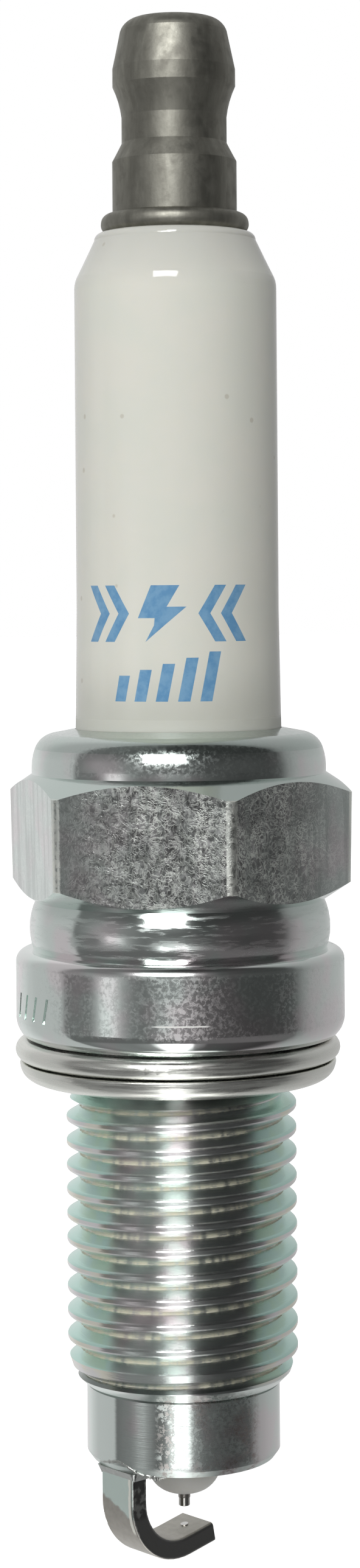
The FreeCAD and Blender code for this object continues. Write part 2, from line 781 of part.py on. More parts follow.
def make_seat_gasket():
    """Folded steel ring, held captive between the flange and the first thread."""
    bead = "(gasket_bead_height / 2)"
    fold = f"({bead} - gasket_sheet)"
    middle = "(gasket_top - gasket_bead_height)"
    foot_top = f"({middle} - gasket_slit)"
    base = f"({foot_top} - gasket_foot_height)"
    foot = "(gasket_foot_height - gasket_foot_edge)"
    body = turned_body("seat_gasket", [
        ("gasket_bore_radius", "gasket_top"),
        (f"gasket_bead_radius - {bead}", "gasket_top"),
        ("gasket_bead_radius", f"gasket_top - {bead}", f"-{bead}"),
        (f"gasket_bead_radius - {bead}", middle, f"-{bead}"),
        ("gasket_bead_radius - gasket_slit_depth", middle),
        ("gasket_bead_radius - gasket_slit_depth", foot_top),
        ("gasket_foot_radius - gasket_foot_edge", foot_top),
        ("gasket_foot_radius", f"{foot_top} - gasket_foot_edge", "-gasket_foot_edge"),
        (f"gasket_foot_radius - {foot}", base, f"-{foot}"),
        ("gasket_bore_radius + gasket_lip_round", base),
        ("gasket_bore_radius", f"{base} + gasket_lip_round", "-gasket_lip_round"),
        ("gasket_bore_radius", f"{middle} + gasket_sheet"),
        (f"gasket_bead_radius - {bead}", f"{middle} + gasket_sheet"),
        ("gasket_bead_radius - gasket_sheet", f"gasket_top - {bead}", fold),
        (f"gasket_bead_radius - {bead}", "gasket_top - gasket_sheet", fold),
        ("gasket_bore_radius", "gasket_top - gasket_sheet"),
    ])
    bind(body, "Placement.Base.x", "gasket_offset")
    return body


def check_model(pieces):
    """Stops before anything is written if an object failed or a piece is not one good solid."""
    for item in doc.Objects:
        if "Invalid" in item.State or "Error" in item.State:
            raise RuntimeError(f"{item.Label}: {item.getStatusString()}")
    for piece in pieces:
        shape = piece.Shape
        if shape.isNull() or not shape.isValid() or len(shape.Solids) != 1:
            raise RuntimeError(f"{piece.Label} is not one valid solid")


def write_pieces(pieces):
    os.makedirs("parts", exist_ok=True)
    for piece in pieces:
        piece.Shape.exportStep(f"parts/{piece.Label}.step")
        box = piece.Shape.BoundBox
        print(f"{piece.Label}: {piece.Shape.Volume:.2f} mm3, z {box.ZMin:.2f} to {box.ZMax:.2f}")


PIECES = [
    make_terminal_stud(),
    make_insulator(),
    make_metal_shell(),
    *make_packings(),
    make_seat_packing(),
    *make_seal_stack(),
    *make_center_electrode(),
    make_ground_electrode(),
    make_platinum_pad(),
    make_ground_weld(),
    make_seat_gasket(),
]
doc.recompute()
check_model(PIECES)
write_pieces(PIECES)
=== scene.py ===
"""Looks of the spark plug: camera, light, floor, procedural materials and the printed mark."""

import math
import random

import bmesh
import bpy
from mathutils import Matrix, Vector


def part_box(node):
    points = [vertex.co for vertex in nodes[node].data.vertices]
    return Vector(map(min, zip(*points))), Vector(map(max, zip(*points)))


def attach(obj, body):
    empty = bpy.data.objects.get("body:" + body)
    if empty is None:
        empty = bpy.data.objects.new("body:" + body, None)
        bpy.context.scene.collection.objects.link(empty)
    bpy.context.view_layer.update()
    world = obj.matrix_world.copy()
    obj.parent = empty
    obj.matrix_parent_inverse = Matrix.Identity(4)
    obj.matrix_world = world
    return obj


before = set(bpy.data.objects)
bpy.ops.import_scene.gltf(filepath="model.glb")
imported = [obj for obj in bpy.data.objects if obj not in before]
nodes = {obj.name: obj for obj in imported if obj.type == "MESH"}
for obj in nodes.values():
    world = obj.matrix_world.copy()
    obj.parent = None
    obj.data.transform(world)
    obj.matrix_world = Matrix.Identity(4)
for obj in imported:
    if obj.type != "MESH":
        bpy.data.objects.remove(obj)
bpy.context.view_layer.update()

MM = 0.001
WHITE = (1.0, 1.0, 1.0)

# The plug's own shape, in millimetres above the origin and from the axis.
STRAP_TURN = 42.0       # the strap's bearing, in degrees from -X towards -Y
ROOT_RADIUS = 5.23      # bottom of the thread's grooves
HEX_FLAT_RADIUS = 7.80
HEX_CORNER_RADIUS = 8.89
HEX_DRAFT = 0.0203      # how much wider the hexagon's corners grow for each millimetre up
TUMBLED_SHADED_SIDE = -76.0    # where the hexagon is most tumbled and darkest with painted shade, in degrees from +X towards +Y

# Zones of the shell by height: low end, high end and how soft their edges are.
SHELL_ZONES = {
    "step": (-18.15, -17.1, 0.08), "roots": (-17.3, -3.2, 0.1), "thread": (-17.2, -2.4, 0.2),
    "flange": (0.8, 3.95, 0.15), "scratch": (1.51, 1.57, 0.02), "rim": (3.85, 4.25, 0.1),
    "bulge": (4.7, 6.9, 0.2), "hexagon": (7.0, 13.5, 0.06),
}
CRIMP_BASE = 13.5
NOSE_TOP = -17.3

# Heights on the insulator: its dull foot in the crimp, the glaze above it darkened with painted
# shade, and the cone, also darkened with painted shade.
DULL_LOW, DULL_HIGH = 16.2, 16.8
FOOT_SHADE_LOW, FOOT_SHADE_HIGH = 15.9, 20.0
CONE_EDGE, CONE_BASE, CONE_TOP = 38.3, 39.2, 41.5


# ---------------------------------------------------------------- camera

def add_camera():
    """Long lens, looking level at the lower half of the insulator; the frame is shifted down."""
    distance = 158 * MM
    eye_height = 23.1 * MM
    side_step = 0.13 * MM
    roll = math.radians(-0.43)
    data = bpy.data.cameras.new("camera")
    data.sensor_width = 36
    data.lens = 69.9
    data.shift_y = -0.125
    data.clip_start = 0.01
    camera = bpy.data.objects.new("camera", data)
    bpy.context.scene.collection.objects.link(camera)
    upright = Matrix.Rotation(math.pi / 2, 4, "X") @ Matrix.Rotation(roll, 4, "Z")
    camera.matrix_world = Matrix.Translation((side_step, -distance, eye_height)) @ upright
    bpy.context.scene.camera = camera


# ---------------------------------------------------------------- node building

class Nodes:
    """Short calls for building a node tree; any argument may be a number, a colour or a socket."""

    def __init__(self, tree):
        self.tree = tree
        self.made = {}

    def add(self, kind, **settings):
        node = self.tree.nodes.new(kind)
        for name, value in settings.items():
            setattr(node, name, value)
        return node

    def put(self, socket, value):
        if isinstance(value, bpy.types.NodeSocket):
            self.tree.links.new(value, socket)
        elif isinstance(value, (tuple, list)) and len(value) == 3 and socket.type == "RGBA":
            socket.default_value = (*value, 1.0)
        else:
            socket.default_value = value

    def math(self, operation, first, second=0.0):
        node = self.add("ShaderNodeMath", operation=operation)
        for socket, value in zip(node.inputs, (first, second)):
            self.put(socket, value)
        return node.outputs[0]

    def times(self, first, second):
        return self.math("MULTIPLY", first, second)

    def plus(self, first, second):
        return self.math("ADD", first, second)

    def size(self, value):
        return self.math("ABSOLUTE", value)

    def larger(self, first, second):
        return self.math("MAXIMUM", first, second)

    def smooth(self, value, low, high, start=0.0, end=1.0, kind="SMOOTHSTEP"):
        """Runs smoothly from start to end as value goes from low to high."""
        node = self.add("ShaderNodeMapRange", interpolation_type=kind)
        for socket, number in zip(node.inputs, (value, low, high, start, end)):
            self.put(socket, number)
        return node.outputs[0]

    def band(self, value, low, high, soft):
        """One between low and high, zero outside, with soft edges."""
        rising = self.smooth(value, low - soft, low + soft)
        falling = self.smooth(value, high - soft, high + soft, 1.0, 0.0)
        return self.times(rising, falling)

    def blend(self, factor, first, second):
        """Number from first to second."""
        node = self.add("ShaderNodeMix", data_type="FLOAT")
        for socket, value in zip(node.inputs[0:1] + node.inputs[2:4], (factor, first, second)):
            self.put(socket, value)
        return node.outputs[0]

    def mix(self, factor, first, second):
        """Colour from first to second."""
        node = self.add("ShaderNodeMix", data_type="RGBA")
        self.put(node.inputs[0], factor)
        self.put(node.inputs[6], first)
        self.put(node.inputs[7], second)
        return node.outputs[2]

    def ramp(self, factor, stops):
        """A colour ramp through (place, colour) stops; a plain number stands for a grey."""
        node = self.add("ShaderNodeValToRGB")
        elements = node.color_ramp.elements
        while len(elements) < len(stops):
            elements.new(0.5)
        for element, (place, colour) in zip(elements, stops):
            element.position = place
            grey = isinstance(colour, (int, float))
            element.color = (colour, colour, colour, 1) if grey else (*colour, 1)
        self.put(node.inputs[0], factor)
        return node.outputs[0]

    def point(self):
        """Place in the object's own frame, in millimetres."""
        if "point" not in self.made:
            where = self.add("ShaderNodeTexCoord").outputs["Object"]
            scaled = self.add("ShaderNodeVectorMath", operation="SCALE")
            self.put(scaled.inputs[0], where)
            scaled.inputs["Scale"].default_value = 1 / MM
            self.made["point"] = scaled.outputs[0]
        return self.made["point"]

    def split(self):
        """X, Y and Z in millimetres."""
        if "split" not in self.made:
            node = self.add("ShaderNodeSeparateXYZ")
            self.put(node.inputs[0], self.point())
            self.made["split"] = tuple(node.outputs)
        return self.made["split"]

    def radius(self):
        """Distance from the axis in millimetres."""
        if "radius" not in self.made:
            x, y, _ = self.split()
            squares = self.plus(self.times(x, x), self.times(y, y))
            self.made["radius"] = self.math("SQRT", squares)
        return self.made["radius"]

    def azimuth(self):
        """Angle about the axis in radians, from +X towards +Y."""
        if "azimuth" not in self.made:
            x, y, _ = self.split()
            self.made["azimuth"] = self.math("ARCTAN2", y, x)
        return self.made["azimuth"]

    def normal_z(self):
        """How far the surface leans up (positive) or down (negative)."""
        if "normal_z" not in self.made:
            node = self.add("ShaderNodeSeparateXYZ")
            self.put(node.inputs[0], self.add("ShaderNodeNewGeometry").outputs["Normal"])
            self.made["normal_z"] = node.outputs[2]
        return self.made["normal_z"]

    def stretched(self, scale):
        """The place with each axis scaled, for grain that runs one way."""
        node = self.add("ShaderNodeVectorMath", operation="MULTIPLY")
        self.put(node.inputs[0], self.point())
        node.inputs[1].default_value = scale
        return node.outputs[0]

    def noise(self, scale, detail=3.0, rough=0.55, distortion=0.0, where=None):
        """Clouded noise, scale in features for each millimetre."""
        node = self.add("ShaderNodeTexNoise")
        self.put(node.inputs["Vector"], where or self.point())
        node.inputs["Scale"].default_value = scale
        node.inputs["Detail"].default_value = detail
        node.inputs["Roughness"].default_value = rough
        node.inputs["Distortion"].default_value = distortion
        return node.outputs[0]

    def cells(self, scale):
        """Distance to the nearest of many scattered points."""
        node = self.add("ShaderNodeTexVoronoi")
        self.put(node.inputs["Vector"], self.point())
        node.inputs["Scale"].default_value = scale
        return node.outputs["Distance"]

    def bump(self, height, depth, normal=None):
        """Raises the surface by height times depth, depth in millimetres."""
        node = self.add("ShaderNodeBump")
        node.inputs["Strength"].default_value = 1.0
        node.inputs["Distance"].default_value = depth * MM
        self.put(node.inputs["Height"], height)
        if normal is not None:
            self.put(node.inputs["Normal"], normal)
        return node.outputs[0]


def new_material(name, metallic, roughness, colour):
    """A material with its shader's plain values set; returns it, its node builder and shader."""
    material = bpy.data.materials.new(name)
    material.use_nodes = True
    shader = material.node_tree.nodes["Principled BSDF"]
    build = Nodes(material.node_tree)
    build.put(shader.inputs["Metallic"], metallic)
    build.put(shader.inputs["Roughness"], roughness)
    build.put(shader.inputs["Base Color"], colour)
    return material, build, shader


# ---------------------------------------------------------------- stage

# Brightness of the room by bearing in degrees, negative to the left of the camera: a dim front
# half with a window on the left and a lit table in front, and bright walls behind the plug.
# The front half has four storeys: above eye level, at it, below it, and the table.
WALLS_BEHIND_LEFT = [(-180, 0.75), (-148, 0.72), (-124, 0.52), (-91, 0.50), (-87, 0.16)]
WALLS_BEHIND_RIGHT = [(86, 0.085), (94, 0.24), (103, 0.33), (122, 0.40), (150, 0.46), (180, 0.62)]
LEVEL_ROOM = [
    (-66, 0.17), (-60, 0.36), (-55, 0.80), (-47, 0.80), (-41, 0.34), (-34, 0.20), (-26, 0.15),
    (-18, 0.20), (-10, 0.24), (-1, 0.24), (6, 0.17), (14, 0.11), (24, 0.08), (38, 0.06),
    (52, 0.05), (75, 0.055),
]
HIGH_ROOM = [(-66, 0.30), (-50, 0.26), (-28, 0.16), (0, 0.12), (20, 0.07), (75, 0.055)]
LOW_ROOM = [
    (-66, 0.23), (-50, 0.33), (-40, 0.24), (-32, 0.13), (-23, 0.20), (-17, 0.70), (-13, 2.2),
    (5, 2.2), (9, 0.95), (13, 0.40), (20, 0.20), (30, 0.12), (42, 0.07), (60, 0.05),
]
TABLE_ROOM = [
    (-66, 0.22), (-40, 0.20), (-24, 0.28), (-13, 2.2), (5, 2.2), (12, 0.30), (22, 0.08),
    (75, 0.04),
]


def walls(build, bearing, stops):
    """One storey of the room: the given front half between the walls behind."""
    places = [((degrees + 180) / 360, value) for degrees, value in
              WALLS_BEHIND_LEFT + stops + WALLS_BEHIND_RIGHT]
    return build.ramp(build.smooth(bearing, -math.pi, math.pi, kind="LINEAR"), places)


def add_world():
    """The room that the plug mirrors; the camera itself sees plain white."""
    world = bpy.data.worlds.new("studio")
    world.use_nodes = True
    bpy.context.scene.world = world
    build = Nodes(world.node_tree)
    background = world.node_tree.nodes["Background"]
    parts = build.add("ShaderNodeSeparateXYZ")
    build.put(parts.inputs[0], build.add("ShaderNodeTexCoord").outputs["Generated"])
    x, y, z = parts.outputs
    bearing = build.math("ARCTAN2", x, build.times(y, -1.0))
    level = build.times(build.math("ARCSINE", z), 180 / math.pi)
    behind = build.smooth(y, -0.02, 0.02)
    low = build.smooth(level, -10, -14)
    gap = build.times(build.smooth(level, -18, -22), build.smooth(behind, 0.0, 1.0, 1.0, 0.0))
    table = build.smooth(level, -34, -40)
    ahead = build.mix(build.smooth(level, -2, 4), walls(build, bearing, LEVEL_ROOM),
                      walls(build, bearing, HIGH_ROOM))
    room = build.mix(low, ahead, walls(build, bearing, LOW_ROOM))
    room = build.mix(gap, room, (0.13, 0.13, 0.13))
    room = build.mix(table, room, walls(build, bearing, TABLE_ROOM))
    below = build.smooth(level, -70, -78)
    room = build.mix(below, room, (1.7, 1.7, 1.66))
    ceiling = build.blend(behind, build.smooth(level, 12, 30), build.smooth(level, 60, 80, 0, 0.3))
    overhead = build.smooth(bearing, math.radians(-80), math.radians(5), 0.17, 0.045)
    room = build.mix(ceiling, room, overhead)
    seen = build.add("ShaderNodeLightPath").outputs["Is Camera Ray"]
    build.put(background.inputs["Color"], build.mix(seen, room, WHITE))


def add_light(name, bearing, level, distance, width, height, watts):
    """A soft rectangle that faces the insulator, at a bearing and level in degrees."""
    data = bpy.data.lights.new(name, "AREA")
    data.shape = "RECTANGLE"
    data.size = width
    data.size_y = height
    data.energy = watts
    light = bpy.data.objects.new(name, data)
    bpy.context.scene.collection.objects.link(light)
    target = Vector((0, 0, 15 * MM))
    a, e = math.radians(bearing), math.radians(level)
    away = Vector((math.sin(a) * math.cos(e), -math.cos(a) * math.cos(e), math.sin(e)))
    light.location = target + away * distance
    light.rotation_euler = away.to_track_quat("Z", "Y").to_euler()


def leave_to_camera(thing):
    """No mirror image, no bounced light and no shadow."""
    thing.visible_glossy = False
    thing.visible_diffuse = False
    thing.visible_shadow = False


def add_floor():
    """Pale floor just under the strap, bright enough to run into the white behind."""
    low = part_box("ground_electrode")[0].z
    bpy.ops.mesh.primitive_plane_add(size=4, location=(0, 1, low))
    floor = bpy.context.object
    floor.name = "floor"
    material, build, shader = new_material("floor", 0.0, 0.9, (0.92, 0.92, 0.92))
    build.put(shader.inputs["Emission Color"], WHITE)
    build.put(shader.inputs["Emission Strength"], 0.85)
    floor.data.materials.append(material)
    leave_to_camera(floor)


# ---------------------------------------------------------------- materials

def plating_tint_and_shade(build):
    """Thin tints of the plating, teal to pink; the darker teal where it leans up above the flange is
    painted shade.
    """
    _, _, z = build.split()
    cloud = build.noise(0.35, 2.0)
    tint = build.mix(build.smooth(cloud, 0.42, 0.62), (0.79, 0.86, 0.83), (0.85, 0.815, 0.825))
    # Painted shade: faces leaning up above the flange are darkened to a deeper teal.
    painted_upface_shade = build.times(build.smooth(build.normal_z(), 0.15, 0.45), build.smooth(z, 4.6, 5.2))
    return build.mix(build.times(painted_upface_shade, 0.8), tint, (0.54, 0.62, 0.585))


def thin_lines(build, pattern, middle):
    """Lines where a noise pattern passes through its middle value."""
    away = build.size(build.plus(pattern, -middle))
    return build.smooth(away, 0.015, 0.045, 1.0, 0.0)


def tumbled_shaded_skin(build, grit):
    """The hexagon's skin: light scratches on a dark mottled ground that is partly tumbled grit and
    partly painted shade; returns its colour and the scratches.
    """
    blotch = build.noise(0.55, 3.0, 0.6, 0.5)
    worms = build.noise(1.6, 1.5, 0.5, 2.6)
    other = build.noise(1.4, 1.5, 0.5, 3.0, build.stretched((1.0, 1.0, 1.1)))
    lines = build.larger(thin_lines(build, worms, 0.5), thin_lines(build, other, 0.44))
    shade = build.plus(build.times(blotch, 0.5), build.times(grit, 0.6))
    skin = build.ramp(shade, [(0.42, 0.11), (0.52, 0.19), (0.6, 0.30), (0.74, 0.58)])
    strength = build.smooth(blotch, 0.35, 0.6, 0.35, 0.9)
    return build.mix(build.times(lines, strength), skin, (0.86, 0.90, 0.84)), lines


def hexagon_masks(build, zone, grit):
    """Where the hexagon's flats are, how tumbled and how darkened with painted shade they are there,
    most on the front flats, and its worn corners.
    """
    _, _, z = build.split()
    radius = build.radius()
    upright = build.smooth(build.size(build.normal_z()), 0.14, 0.07)
    sides = build.times(zone["hexagon"],
                        build.smooth(radius, HEX_FLAT_RADIUS, HEX_FLAT_RADIUS + 0.04))
    flats = build.times(sides, upright)
    turned = build.math("COSINE", build.plus(build.azimuth(), math.radians(-TUMBLED_SHADED_SIDE)))
    tumbled_and_shaded = build.times(flats, build.smooth(turned, 0.45, 0.97, 0.15, 0.95))
    above = build.plus(z, -SHELL_ZONES["hexagon"][0])
    undrafted = build.plus(radius, build.times(above, -HEX_DRAFT))
    corner = build.smooth(undrafted, HEX_CORNER_RADIUS, HEX_CORNER_RADIUS + 0.05)
    corner = build.times(sides, corner)
    corner = build.times(corner, build.smooth(grit, 0.40, 0.55, 0.4, 1.0))
    return flats, tumbled_and_shaded, corner


def mirror_haze(build, zone, spots, smear, worn, scratch):
    """Fine etched spots that blur the mirror, thickest on the flange and the nose."""
    _, _, z = build.split()
    patch = build.smooth(build.noise(0.4, 2.0), 0.30, 0.70)
    haze = build.plus(build.times(zone["flange"], build.smooth(patch, 0, 1, 0.4, 0.65)),
                      build.times(zone["nose"], build.plus(worn, 0.1)))
    haze = build.plus(haze, build.times(zone["crimp"], 0.35))
    haze = build.times(haze, spots)
    smeared = build.smooth(smear, 0.48, 0.60, 0.0, 0.5)
    nose_round = build.smooth(z, -21.1, -21.4, 0.0, 0.8)
    for more in (build.times(zone["bulge"], smeared), build.times(zone["rim"], 0.3),
                 build.times(build.plus(zone["crimp"], zone["bulge"]), 0.05), scratch, nose_round):
        haze = build.plus(haze, more)
    return haze


def thread_tint_shade_and_sheen(build, zone, colour):
    """The colour given, darkened right of the middle with painted shade, and with the flanks at the
    sides given the plating's teal and pink as a painted sheen.
    """
    x, _, _ = build.split()
    # Painted shade: the thread is darkened right of its middle.
    painted_right_shade = build.times(zone["thread"], build.smooth(x, -0.5, 1.6, 0.1, 0.85))
    colour = build.mix(painted_right_shade, colour, (0.50, 0.52, 0.51))
    # Painted sheen: the flanks at the sides get the plating's tint, teal where they lean up.
    flank_tint_and_sheen = build.mix(build.smooth(build.noise(0.6, 2.0), 0.40, 0.60), (0.84, 0.83, 0.84),
                      (0.86, 0.84, 0.74))
    flank_tint_and_sheen = build.mix(build.smooth(build.normal_z(), 0.1, 0.5), flank_tint_and_sheen, (0.60, 0.84, 0.77))
    aside = build.smooth(build.size(x), 3.0, 4.0)
    return build.mix(build.times(zone["thread"], aside), colour, flank_tint_and_sheen)


def root_lines(build, zone):
    """A ragged line in the bottom of each groove of the thread, painted as a highlight."""
    wander = build.times(build.noise(5.0, 3.0, 0.6), 0.08)
    groove = build.smooth(build.plus(build.radius(), wander), ROOT_RADIUS + 0.11,
                          ROOT_RADIUS + 0.09)
    breaks = build.smooth(build.noise(3.0, 3.0, 0.6), 0.38, 0.56, 0.25, 1.0)
    return build.times(build.times(groove, zone["roots"]), breaks)


def worn_patch(build):
    """The nose's spotted front, clear where the bright strip of light runs down it."""
    x, _, _ = build.split()
    clear = build.times(build.band(x, -1.3, 3.7, 0.3), build.band(x, -0.55, 0.5, 0.15))
    return build.plus(build.band(x, -1.4, 3.7, 0.3), build.times(clear, -0.95))


def plated_steel():
    """Bright zinc plating: tumbled hexagon with painted shade on its front flats, polished crimp,
    mottled flange, thread with painted shade right of the middle, painted sheen on its sides and
    painted highlights in its grooves, painted shade on the nose step.
    """
    material, build, shader = new_material("plated_steel", 1.0, 0.12, (0.8, 0.8, 0.8))
    x, _, z = build.split()
    zone = {name: build.band(z, *limits) for name, limits in SHELL_ZONES.items()}
    zone["crimp"] = build.smooth(z, CRIMP_BASE, CRIMP_BASE + 0.3)
    zone["nose"] = build.smooth(z, NOSE_TOP, NOSE_TOP - 0.5)
    grit = build.noise(2.6, 4.0, 0.65, 0.7)
    spots = build.smooth(build.noise(5.0, 5.0, 0.7, 0.5), 0.42, 0.60)
    smear = build.noise(1.5, 4.0, 0.6, 0.4, build.stretched((0.45, 0.45, 3.0)))
    worn = worn_patch(build)

    skin, lines = tumbled_shaded_skin(build, grit)
    flats, tumbled_and_shaded, corner = hexagon_masks(build, zone, grit)
    # Painted shade: the dark skin is laid over the hexagon's flats, most on the front ones.
    colour = build.mix(tumbled_and_shaded, plating_tint_and_shade(build), skin)
    colour = build.mix(corner, colour, (0.93, 0.95, 0.89))
    streaks = build.noise(1.0, 3.0, 0.6, 0.0, build.stretched((2.2, 2.2, 0.16)))
    streaks = build.times(flats, build.smooth(streaks, 0.44, 0.62, 0.0, 0.35))
    colour = build.mix(streaks, colour, (0.36, 0.40, 0.38))

    scratch = build.times(zone["scratch"], build.band(x, -1.25, 1.35, 0.25))
    colour = build.mix(scratch, colour, (0.98, 0.98, 0.94))
    colour = thread_tint_shade_and_sheen(build, zone, colour)
    painted_root_glint = root_lines(build, zone)
    # Painted highlight: near-white ragged lines in the bottoms of the thread's grooves.
    colour = build.mix(painted_root_glint, colour, (0.96, 0.94, 0.80))
    # Painted shade: faces that lean up in the step at the top of the nose are darkened.
    step = build.times(zone["step"], build.smooth(build.normal_z(), 0.05, 0.3))
    colour = build.mix(build.times(step, 0.75), colour, (0.16, 0.18, 0.17))
    stain = build.times(spots, build.smooth(build.noise(0.7, 3.0), 0.42, 0.60))
    stain = build.times(build.times(zone["nose"], worn), build.times(stain, 0.7))
    colour = build.mix(stain, colour, (0.40, 0.32, 0.30))
    build.put(shader.inputs["Base Color"], colour)

    # The scratch and the painted groove highlights are dull and white rather than metal.
    scratch_and_root_glint = build.larger(painted_root_glint, scratch)
    build.put(shader.inputs["Metallic"], build.smooth(scratch_and_root_glint, 0.0, 1.0, 1.0, 0.25, "LINEAR"))
    haze = mirror_haze(build, zone, spots, smear, worn, scratch)
    rough = build.blend(haze, 0.09, 0.46)
    rough = build.blend(zone["thread"], rough, 0.24)
    rough = build.blend(tumbled_and_shaded, rough, build.smooth(grit, 0.4, 0.6, 0.30, 0.5))
    rough = build.blend(corner, rough, 0.45)
    build.put(shader.inputs["Roughness"], build.blend(scratch_and_root_glint, rough, 0.6))

    # The thread and the nose were cut on a lathe, so they mirror with a grain.
    turned = build.plus(zone["thread"], zone["nose"])
    build.put(shader.inputs["Anisotropic"], build.times(turned, 0.85))
    shader.inputs["Anisotropic Rotation"].default_value = 0.25
    around = build.add("ShaderNodeTangent", direction_type="RADIAL", axis="Z")
    build.put(shader.inputs["Tangent"], around.outputs[0])

    rings = build.noise(1.0, 3.0, 0.7, 0.0, build.stretched((0.5, 0.5, 9.0)))
    ringed = build.plus(zone["thread"], build.times(zone["nose"], 0.3))
    relief = build.bump(build.times(rings, ringed), 0.015)
    relief = build.bump(build.times(smear, zone["bulge"]), 0.006, relief)
    pitted = build.plus(build.times(grit, 0.6), build.times(lines, 0.3))
    build.put(shader.inputs["Normal"], build.bump(build.times(pitted, tumbled_and_shaded), 0.008, relief))
    return material


def glazed_alumina():
    """Warm white glaze with few specks, darkened with painted shade just above the crimp and on the
    cone; the nose is bare and matt.
    """
    material, build, shader = new_material("glazed_alumina", 0.0, 0.08, (0.78, 0.79, 0.71))
    _, _, z = build.split()
    cloud = build.noise(0.4, 2.0)
    glaze = build.mix(build.smooth(cloud, 0.3, 0.7), (0.79, 0.80, 0.725), (0.815, 0.81, 0.735))
    # Painted shade: the glaze is darkened just above the crimp and on the cone.
    painted_foot_shade = build.smooth(z, FOOT_SHADE_HIGH, FOOT_SHADE_LOW)
    glaze = build.mix(build.times(painted_foot_shade, 0.75), glaze, (0.60, 0.605, 0.545))
    painted_cone_shade = build.smooth(z, CONE_EDGE, CONE_BASE, 0.0, 0.3)
    painted_cone_shade = build.plus(painted_cone_shade, build.smooth(z, CONE_BASE, CONE_TOP, 0.0, 0.35, kind="LINEAR"))
    glaze = build.mix(painted_cone_shade, glaze, (0.565, 0.565, 0.53))
    speck = build.smooth(build.cells(0.55), 0.09, 0.05)
    glaze = build.mix(build.times(speck, 0.35), glaze, (0.42, 0.36, 0.26))
    bare = build.smooth(z, 0.0, -1.0)
    build.put(shader.inputs["Base Color"], build.mix(bare, glaze, (0.90, 0.89, 0.84)))
    dull = build.larger(bare, build.times(build.smooth(z, DULL_HIGH, DULL_LOW), 0.7))
    build.put(shader.inputs["Roughness"], build.blend(dull, 0.07, 0.55))
    build.put(shader.inputs["Normal"], build.bump(build.noise(0.5, 1.0), 0.02))
    shader.inputs["Subsurface Weight"].default_value = 0.35
    shader.inputs["Subsurface Radius"].default_value = (1.0, 0.95, 0.8)
    shader.inputs["Subsurface Scale"].default_value = 0.9 * MM
    return material


def nickel_terminal():
    """Dull turned nickel with streaks along the axis."""
    material, build, shader = new_material("nickel_terminal", 1.0, 0.4, (0.45, 0.43, 0.39))
    streak = build.noise(1.8, 4.0, 0.6, 0.3, build.stretched((1.0, 1.0, 0.22)))
    mottle = build.noise(1.3, 4.0, 0.6)
    colour = build.ramp(streak, [(0.3, (0.22, 0.215, 0.185)), (0.55, (0.275, 0.27, 0.235)),
                                 (0.75, (0.35, 0.345, 0.30))])
    colour = build.mix(build.smooth(mottle, 0.52, 0.7, 0.0, 0.4), colour, (0.18, 0.172, 0.15))
    build.put(shader.inputs["Base Color"], colour)
    build.put(shader.inputs["Roughness"], build.smooth(mottle, 0.3, 0.7, 0.44, 0.56))
    build.put(shader.inputs["Normal"], build.bump(build.noise(6.0, 3.0), 0.004))
    return material


def gasket_steel():
    """Satin plated sheet, with faint rings from folding."""
    material, build, shader = new_material("gasket_steel", 1.0, 0.28, (0.84, 0.85, 0.80))
    rings = build.noise(2.0, 3.0, 0.5, 0.0, build.stretched((0.3, 0.3, 4.0)))
    build.put(shader.inputs["Roughness"], build.smooth(rings, 0.3, 0.7, 0.21, 0.33))
    build.put(shader.inputs["Normal"], build.bump(rings, 0.010))
    cloud = build.noise(0.5, 2.0)
    build.put(shader.inputs["Base Color"],
              build.mix(cloud, (0.82, 0.86, 0.80), (0.90, 0.88, 0.84)))
    return material


def strap_nickel():
    """Grey-brown nickel alloy: plating left on the root of the leg, sheared sides darkened with
    painted shade, a painted highlight along the leg's edge.
    """
    material, build, shader = new_material("strap_nickel", 1.0, 0.3, (0.36, 0.34, 0.3))
    x, y, z = build.split()
    turn = math.radians(STRAP_TURN)
    # Distance out from the axis towards the strap's leg, and across the strap from its middle.
    out = build.plus(build.times(x, -math.cos(turn)), build.times(y, -math.sin(turn)))
    side = build.plus(build.times(x, math.sin(turn)), build.times(y, -math.cos(turn)))
    wander = build.times(build.noise(1.8, 2.0), 0.5)
    edge = build.plus(build.plus(z, build.times(side, 0.42)), wander)
    plated = build.smooth(edge, -23.45, -23.25)
    grain = build.noise(3.0, 4.0)
    bare = build.mix(grain, (0.42, 0.40, 0.365), (0.60, 0.58, 0.53))
    colour = build.mix(build.times(plated, build.smooth(out, 4.2, 4.5)), bare, (0.66, 0.77, 0.725))
    # Painted shade: both sheared sides are darkened, lighter where plating patches remain.
    painted_side_shade = build.larger(build.smooth(side, 1.16, 1.19), build.smooth(side, -1.215, -1.225))
    patches = build.smooth(build.noise(1.6, 3.0, 0.6), 0.50, 0.62)
    side_shade_colour = build.mix(build.times(patches, plated), (0.20, 0.20, 0.195), (0.55, 0.56, 0.54))
    colour = build.mix(painted_side_shade, colour, side_shade_colour)
    # Painted highlight along the rounded edge of the leg's outer face.
    rim = build.band(build.plus(side, build.times(wander, 0.3)), 0.98, 1.19, 0.03)
    rim = build.times(rim, build.smooth(build.plus(out, wander), 4.45, 4.60))
    colour = build.mix(rim, colour, (0.98, 0.98, 0.90))
    build.put(shader.inputs["Base Color"], colour)
    build.put(shader.inputs["Roughness"], build.blend(plated, 0.4, 0.2))
    build.put(shader.inputs["Normal"], build.bump(grain, 0.006))
    return material


